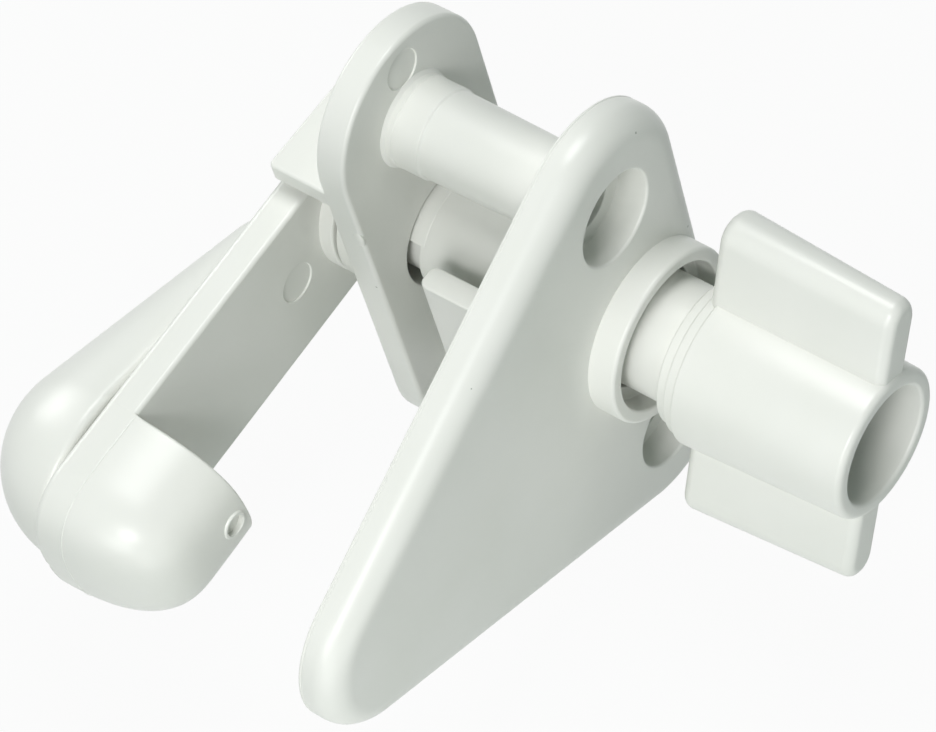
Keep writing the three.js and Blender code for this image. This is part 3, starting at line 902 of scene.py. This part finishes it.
@dataclass
class WingKnob:
    """The knob: a tapered round body with a deep bore, fine steps at its rear, and two flat wings."""

    rear: float = -51.1
    front: float = -86.4
    rear_radius: float = 14.5
    front_radius: float = 13.1
    bore_radius: float = 10.3
    floor: float = -69.7
    web: float = 4.0
    socket: float = 10.65
    screw_hole: float = 3.3
    step: Pair = (0.9, 2.0)  # depth, length
    wing_reach: Pair = (29.0, 27.0)  # at the rear, at the front
    wing_thickness: Pair = (9.4, 6.8)
    wing_set_back: Pair = (2.4, 0.6)
    wing_root: Pair = (11.2, 2.5)  # least radius, rounding
    wing_tip_round: float = 4.3
    wing_end_round: float = 2.0
    angle: float = 28.7

    def build(self) -> Surface:
        """The body as a turned ring, and both wings.

        Returns:
            Its surface.
        """
        depth, length = self.step
        outer, rear = self.rear_radius, self.rear
        line = [
            (self.socket, rear, 0.2),
            (outer - 2 * depth, rear, 0.4),
            (outer - 2 * depth, rear - length, 0.5),
            (outer - depth, rear - length, 0.35),
            (outer - depth, rear - 2 * length, 0.5),
            (outer, rear - 2 * length, 0.35),
            (self.front_radius, self.front, 1.2),
            (self.bore_radius, self.front, 0.7),
            (self.bore_radius, self.floor, 0.8),
            (self.screw_hole, self.floor, 0.2),
            (self.screw_hole, self.floor + self.web, 0.2),
            (self.socket, self.floor + self.web, 0.2),
        ]
        body = lathe(line)
        return joined(body, self.wing(0.0), self.wing(180.0))

    def wing(self, turn: float) -> Surface:
        """One wing: a round-tipped section from just outside the bore, shorter and thinner at the front.

        Args:
            turn: degrees from the first wing.

        Returns:
            Its surface.
        """
        rear_y, front_y = self.rear - self.wing_set_back[0], self.front + self.wing_set_back[1]
        reach, half, tip = self.wing_reach[0], self.wing_thickness[0] / 2, self.wing_tip_round
        root, turn_in = self.wing_root
        near, far = root + turn_in, reach - tip
        side = [(near, turn_in - half, turn_in), (far, tip - half, tip), (far, half - tip, tip)]
        outline = hull([*side, (near, half - turn_in, turn_in)], steps=16)
        made = plate(outline, edge(front_y, rear_y, self.wing_end_round, self.wing_end_round))
        share = (rear_y - made.points[:, 1:2]) / (rear_y - front_y)
        thinner = self.wing_thickness[1] / self.wing_thickness[0]
        ratio = np.array([self.wing_reach[1] / reach, 1.0, thinner])
        tapered = Surface(made.points * (1 + share * (ratio - 1)), made.faces)
        return tapered.turned(self.angle - 90 + turn)


@dataclass
class LeverArm:
    """The bar behind the gate with its boss, the squared dome of the hook and the nut's boss."""

    boss: Pair = (14.5, 13.2)  # radius, front
    boss_lap: float = 0.4
    front: float = 16.0
    back: float = 22.1
    half_width: float = 15.3
    edge_round: float = 0.8
    bar_end: float = 62.0
    bar_corner: float = 3.0
    nut_boss: Triple = (11.5, 26.1, 10.3)  # radius, end, pocket across flats
    nut_boss_round: float = 0.6
    nut_corner: float = 0.4
    nut_mouth: Pair = (0.2, 0.5)  # chamfer, flat face kept round the pocket
    nut_room: float = 6.4
    nut_seat: float = 21.1
    socket: Pair = (8.1, 19.5)  # radius, floor
    screw_hole: float = 3.3
    wall: float = 59.4
    hook_reach: float = 70.2
    hook_half: Quad = (14.0, 60.0, 24.6, 15.5)  # outwards, inwards, forwards, across
    hook_middle: float = 22.6
    hook_steps: tuple[int, int, int, int] = (7, 14, 44, 201)  # wall's rim, side, nose, across
    squareness: float = 2.6
    wall_round: float = 0.5
    wall_fade: float = 2.0
    groove_round: float = 1.5
    tip_hole: Triple = (63.0, 2.0, 0.8)  # reach, radius, depth
    tip_lip: Triple = (0.1, 0.4, 0.28)  # inwards, outwards, height
    pin_mark: Pair = (-21.6, 0.35)
    seam: float = 0.09
    seam_start: float = 0.2
    seam_steps: tuple[int, int] = (240, 13)  # round the hook, round the line
    stub: tuple[Triple, Triple] = ((-15.9, 17.2, -15.35), (1.4, 0.45, 0.3))  # middle, half sizes

    def build(self) -> Surface:
        """The lever in the turning set's own frame, its bar along -X.

        Returns:
            Its surface.
        """
        end, half, turn = self.bar_end, self.half_width, self.bar_corner
        corners = [(turn - end, half - turn, turn), (turn - end, turn - half, turn), (0.0, 0.0, half)]
        outline = hull(corners, steps=48)
        radius, depth = self.socket
        line = [
            (radius, self.front, 0.0),
            (radius, depth, 0.0),
            (self.screw_hole, depth, 0.0),
            (self.screw_hole, self.nut_seat, 0.0),
            (self.nut_room, self.nut_seat, 0.0),
            (self.nut_room, self.back, 0.0),
        ]
        hole = bore(line)
        mark = pin_mark(*self.pin_mark, face=self.front)
        rim = edge(self.front, self.back, self.edge_round, self.groove_round)
        bar = plate(outline, rim, [hole, mark])
        outer, top = self.boss
        root = self.front + self.boss_lap
        boss = lathe([(radius, top, 0.2), (outer, top, 0.5), (outer, root, 0.0), (radius, root, 0.0)])
        small = self.nut_collar(), nub(*self.stub)
        hook = carved(self.hook(), self.tip_bore())
        return joined(bar, boss, *small, hook, self.lip(), self.witness_line())

    def witness_line(self) -> Surface:
        """A faint raised line round the hook, level with the bar's face, where its mould's halves met.

        It follows the dome's superellipse at that height, and its section is a small ellipse.

        Returns:
            Its surface.
        """
        out, root, deep, wide = self.hook_half
        n = self.squareness
        size = (1 - ((self.hook_middle - self.front) / deep) ** n) ** (1 / n)
        around, section = self.seam_steps
        angle = np.linspace(0.0, 2 * math.pi, around, endpoint=False)
        c, s = np.cos(angle), np.sin(angle)
        span = np.where(c > 0, out, root)
        reach = self.hook_reach + span * size * np.sign(c) * np.abs(c) ** (2 / n)
        reach = np.maximum(reach, self.wall + self.seam_start)
        across = wide * size * np.sign(s) * np.abs(s) ** (2 / n)
        along = -np.sign(c) * np.abs(c) ** (2 - 2 / n) / span
        aside = np.sign(s) * np.abs(s) ** (2 - 2 / n) / wide
        normals = unit(np.stack([along, aside], axis=1))
        turn = np.linspace(0.0, 2 * math.pi, section)
        line = np.stack([self.seam * np.cos(turn), self.front + 2 * self.seam * np.sin(turn)], axis=1)
        return swept(Outline(np.stack([-reach, across], axis=1), normals), line)

    def nut_collar(self) -> Surface:
        """The boss behind the bar with the six-sided pocket of the nut.

        Returns:
            Its surface.
        """
        radius, end, across = self.nut_boss
        corner = self.nut_corner
        root = self.back - self.boss_lap
        chamfer, margin = self.nut_mouth
        spread = (across / 2 - corner) / math.cos(math.pi / 6)
        angles = np.radians(np.arange(6) * 60.0 + 30.0)
        pocket = hull([(spread * math.cos(a), spread * math.sin(a), corner) for a in angles], steps=6)
        rim = edge(root, end, 0.0, self.nut_boss_round)
        sides = np.array([[0.0, root], [0.0, end - chamfer], [-chamfer, end], [-margin, end]])
        return plate(disc(radius), rim, [(pocket, sides)])

    def hook(self) -> Surface:
        """The hook: sections of a squared dome along the bar, from the catch wall to the end.

        Each section is a superellipse, whose coordinates over their half sizes, raised to the
        squareness, add up to a sum that falls from one to nothing at the end; the wall's rim and the
        groove's rim are quarter rounds taken off along the dome's normal.

        Returns:
            Its surface, closed at the wall and at the groove.
        """
        out, root, deep, wide = self.hook_half
        rim_steps, side_steps, nose_steps, across_steps = self.hook_steps
        n = self.squareness
        turn = np.linspace(0.0, math.pi / 2, rim_steps)
        begin = self.wall + self.wall_round * (1 - np.cos(turn))
        rest = np.linspace(self.wall + self.wall_round, self.hook_reach, side_steps)[1:]
        tail = self.hook_reach + out * np.sin(np.linspace(0.0, math.pi / 2, nose_steps))[1:]
        reach = np.concatenate([[self.wall], begin, rest, tail])[:, None]
        edge_row, rounding = [self.wall_round + FACE_ROW_MM], self.wall_round * (1 - np.sin(turn))
        rim = np.concatenate([edge_row, rounding, 0 * rest, 0 * tail])[:, None]
        past = reach - self.hook_reach
        span = np.where(past > 0, out, root)
        size = np.clip(1 - np.abs(past / span) ** n, 0.0, 1.0) ** (1 / n)
        share = np.linspace(-1.0, 1.0, across_steps)[None]
        angle = np.sign(share) * (1 - (1 - np.abs(share)) ** 3) * math.pi / 2
        across = wide * size * np.sign(angle) * np.abs(np.sin(angle)) ** (2 / n)
        across = np.clip(across, -self.half_width, self.half_width)
        y = self.hook_middle - deep * size * np.abs(np.cos(angle)) ** (2 / n)
        y = np.minimum(y, self.back)
        along = np.sign(past) * np.abs(past / span) ** (n - 1) / span + 0 * y
        ahead = -np.abs((self.hook_middle - y) / deep) ** (n - 1) / deep
        aside = np.sign(across) * np.abs(across / wide) ** (n - 1) / wide
        pull = np.stack([along, ahead, aside], axis=-1)
        level = unit(pull * [1, 0, 1])
        section = unit(pull * [0, 1, 1])
        late = np.clip((y - self.back + self.groove_round) / self.groove_round, 0.0, 1.0)
        groove = self.groove_round * (1 - np.sqrt(1 - late**2))
        free = np.clip((self.front - y) / self.wall_fade, 0.0, 1.0)
        shift = level * groove[..., None] + section * (rim * free)[..., None]
        points = np.stack([reach + 0 * y, y, across], axis=-1) - shift
        points[..., 0] = np.maximum(points[..., 0], reach.min())
        return half_shell(points * [-1, 1, 1])

    def tip_bore(self) -> Surface:
        """The hole in the hook's nose as a cylinder to cut away, no deeper than the photo shows it.

        Returns:
            Its surface, which stands well out of the nose.
        """
        reach, radius, depth = self.tip_hole
        nose = self.hook_middle - self.hook_half[2]
        start, end = nose - 3 * radius, nose + depth
        line = [(0.0, start, 0.0), (radius, start, 0.0), (radius, end, 0.0), (0.0, end, 0.0)]
        return lathe(line, x=-reach)

    def lip(self) -> Surface:
        """The low raised lip round that hole.

        Returns:
            Its surface.
        """
        reach, radius, _ = self.tip_hole
        inside, width, height = self.tip_lip
        nose = self.hook_middle - self.hook_half[2]
        inner, outer = radius - inside, radius + width
        top, foot = nose - height, nose + height
        line = [(inner, top, 0.15), (outer, top, 0.25), (outer + height, foot, 0.0), (inner, foot, 0.0)]
        return lathe(line, x=-reach)


@dataclass
class LeverGrip:
    """The drop-shaped grip on the back of the lever."""

    face: float = 22.4
    middle: float = 22.1
    end: Pair = (63.6, 19.0)  # reach and radius of the large ball
    tip: Pair = (21.0, 8.6)  # and of the small one
    half_width: float = 15.6
    depth: float = 20.0
    groove_round: float = 1.5
    steps: tuple[int, int, int] = (26, 60, 97)  # small ball, large ball, across

    def build(self) -> Surface:
        """The grip: half sections of a drop along the lever.

        The drop is a small ball and a large one in one taut skin, turned about the lever's length,
        stretched in depth and narrowed across; its flat face has a quarter round taken off along the
        outline's normal.

        Returns:
            Its surface.
        """
        (far, big), (near, small) = self.end, self.tip
        tip_steps, end_steps, across_steps = self.steps
        lean = math.asin((big - small) / (far - near))
        first = np.linspace(math.pi, math.pi / 2 + lean, tip_steps)
        second = np.linspace(math.pi / 2 + lean, 0.0, end_steps)
        heading = np.concatenate([first, second])[:, None]
        reach = np.concatenate([near + small * np.cos(first), far + big * np.cos(second)])[:, None]
        radius = np.concatenate([small * np.sin(first), big * np.sin(second)])[:, None]
        share = np.linspace(0.0, 1.0, across_steps)[None]
        angle = math.pi * (0.5 - 0.5 * np.cos(math.pi * share))
        across = radius * self.half_width / big * np.cos(angle)
        y = np.maximum(self.middle + radius * self.depth / big * np.sin(angle), self.face)
        late = np.clip((self.face + self.groove_round - y) / self.groove_round, 0.0, 1.0)
        groove = self.groove_round * (1 - np.sqrt(1 - late**2))
        aside = np.sin(heading) * np.cos(angle) * big / self.half_width
        level = unit(np.stack([np.cos(heading) + 0 * y, aside], axis=-1))
        x = -(reach - groove * level[..., 0])
        return half_shell(np.stack([x, y, across - groove * level[..., 1]], axis=-1))


@dataclass
class Fasteners:
    """The screws, washer and nut, which keep their CAD shapes."""

    nodes: tuple[str, ...] = ("spindle_screw", "screw_washer", "spindle_nut", "grip_screw")
    finish: PlatedSteel = field(default_factory=PlatedSteel)

    def dress(self) -> None:
        """Gives each of the fasteners the plated steel."""
        steel = self.finish.material()
        for name in self.nodes:
            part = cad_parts[name]
            part.data.materials.clear()
            part.data.materials.append(steel)
            LOG.info("%s: %s", name, steel.name)


@dataclass
class Latch:
    """The whole latch."""

    drop: float = -3.2
    post_z: float = 30.0
    finish: MouldedPlastic = field(default_factory=MouldedPlastic)

    def build(self) -> None:
        """Adds every piece with its finish."""
        plastic = self.finish.material()
        fixed = {"front_plate": FrontPlate(), "rear_plate": RearPlate()}
        fixed |= {"upper_post": Post(self.post_z), "lower_post": Post(-self.post_z)}
        for node, part in fixed.items():
            add_piece(node, part.build(), Body.FRAME, plastic)
        turning = {"spindle": Spindle(), "wing_knob": WingKnob()}
        turning |= {"lever_arm": LeverArm(), "lever_grip": LeverGrip()}
        for node, part in turning.items():
            add_piece(node, part.build().turned(self.drop), Body.TURNING, plastic)
        Fasteners().dress()


# Studio


def seen_white(tree: Tree) -> Socket:
    """Picks the rays that show the background: the camera's own, reflected and transmitted ones.

    Args:
        tree: node tree that takes the test.

    Returns:
        A socket that is one for those rays and nothing for the rest.
    """
    path = add_node(tree, "LightPath").node.outputs
    links = {0: path["Is Camera Ray"], 1: path["Is Glossy Ray"]}
    seen = add_node(tree, "Math", links=links, operation="MAXIMUM")
    links = {0: seen, 1: path["Is Transmission Ray"]}
    return add_node(tree, "Math", links=links, operation="MAXIMUM")


@dataclass(frozen=True)
class Lamp:
    """A soft square lamp that looks at the object."""

    name: str
    direction: Triple
    distance: float  # metres
    size: float  # metres
    power: float  # watts

    def add(self, aim: Vector) -> None:
        """Puts the lamp into the scene.

        Args:
            aim: point that it looks at, in metres.
        """
        light = bpy.data.lights.new(self.name, "AREA")
        light.energy = self.power
        light.size = self.size
        lamp = placed(self.name, light)
        way = Vector(self.direction).normalized()
        lamp.location = aim + way * self.distance
        lamp.rotation_euler = way.to_track_quat("Z", "Y").to_euler()


@dataclass
class Studio:
    """The pale floor, soft light and the camera at the photograph's angle."""

    place: Triple = (-263.07, -333.77, 576.68)
    forward: Triple = (0.34583, 0.44923, -0.82377)
    roll: float = 19.23
    lens: float = 166.79
    sensor: float = 36.0
    clip: Pair = (0.01, 20.0)  # metres
    floor_gap: float = 0.5
    floor_size: float = 6.0
    floor_colour: str = "#A0A8A3"
    floor_white: float = 0.95
    sky_colour: str = "#4C5D57"
    lamps: tuple[Lamp, ...] = (
        Lamp("key_softbox", (-0.6, -0.34, 0.73), 0.9, 0.2, 2.8),
        Lamp("top_softbox", (0.3, 0.02, 0.94), 0.9, 0.4, 4.3),
        Lamp("side_softbox", (-0.87, -0.22, 0.45), 0.9, 0.35, 2.1),
        Lamp("low_softbox", (-0.36, -0.93, -0.04), 0.17, 0.09, 0.034),
        Lamp("hook_softbox", (-0.89, -0.46, -0.04), 0.17, 0.09, 0.038),
        Lamp("back_softbox", (0.15, 0.9, 0.4), 0.9, 0.35, 2.4),
    )

    def build(self) -> None:
        """Adds the floor, the world, the lamps and the camera."""
        low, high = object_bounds()
        self.floor(low.z - self.floor_gap * MM)
        self.world()
        for lamp in self.lamps:
            lamp.add((low + high) / 2)
        self.camera()

    def floor(self, height: float) -> None:
        """A large pale floor that takes the object's shadow.

        Args:
            height: z of the floor, in metres.
        """
        half = self.floor_size / 2
        square = [(i * half, j * half, height) for i, j in ((-1, -1), (1, -1), (1, 1), (-1, 1))]
        mesh = bpy.data.meshes.new("studio_floor")
        mesh.from_pydata(square, [], [(0, 1, 2, 3)])
        floor = placed("studio_floor", mesh)
        material, tree = blank_material("pale_paper_floor")
        paper = add_node(tree, "BsdfDiffuse", {"Color": linear(self.floor_colour)})
        glow = add_node(tree, "Emission", {"Color": WHITE, "Strength": 1.0})
        white, seen = {1: self.floor_white}, {0: seen_white(tree)}
        share = add_node(tree, "Math", white, seen, operation="MULTIPLY")
        mixed = add_node(tree, "MixShader", links={0: share, 1: paper, 2: glow})
        add_node(tree, "OutputMaterial", links={"Surface": mixed})
        mesh.materials.append(material)
        floor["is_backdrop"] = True

    def world(self) -> None:
        """A surround that gives a low light and looks white to the camera and in reflections."""
        world = bpy.data.worlds.new("studio_world")
        bpy.context.scene.world = world
        world.use_nodes = True
        tree = world.node_tree
        tree.nodes.clear()
        values, seen = {MIX_FIRST: linear(self.sky_colour), MIX_SECOND: WHITE}, {0: seen_white(tree)}
        tint = add_node(tree, "Mix", values, seen, MIX_RESULT, data_type="RGBA")
        sky = add_node(tree, "Background", {"Strength": 1.0}, {"Color": tint})
        add_node(tree, "OutputWorld", links={"Surface": sky})

    def camera(self) -> None:
        """The camera, rolled so that its up leans to the right of level."""
        lens = bpy.data.cameras.new("photo_camera")
        lens.lens = self.lens
        lens.sensor_width = self.sensor
        lens.sensor_fit = "HORIZONTAL"
        lens.clip_start, lens.clip_end = self.clip
        camera = placed("photo_camera", lens)
        level = Vector(self.forward).to_track_quat("-Z", "Y").to_matrix().to_4x4()
        roll = Matrix.Rotation(math.radians(-self.roll), 4, "Z")
        camera.matrix_world = Matrix.Translation(Vector(self.place) * MM) @ level @ roll
        bpy.context.scene.camera = camera


def corners(bounds: tuple[Vector, Vector]) -> list[list[float]]:
    """The two corners of a box as plain lists."""
    return [list(corner) for corner in bounds]


def main() -> None:
    logging.basicConfig(level=logging.INFO, format="%(name)s %(message)s")
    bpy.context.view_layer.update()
    bpy.context.scene.view_settings.view_transform = "Standard"
    Latch().build()
    Studio().build()


if __name__ == "__main__":
    main()
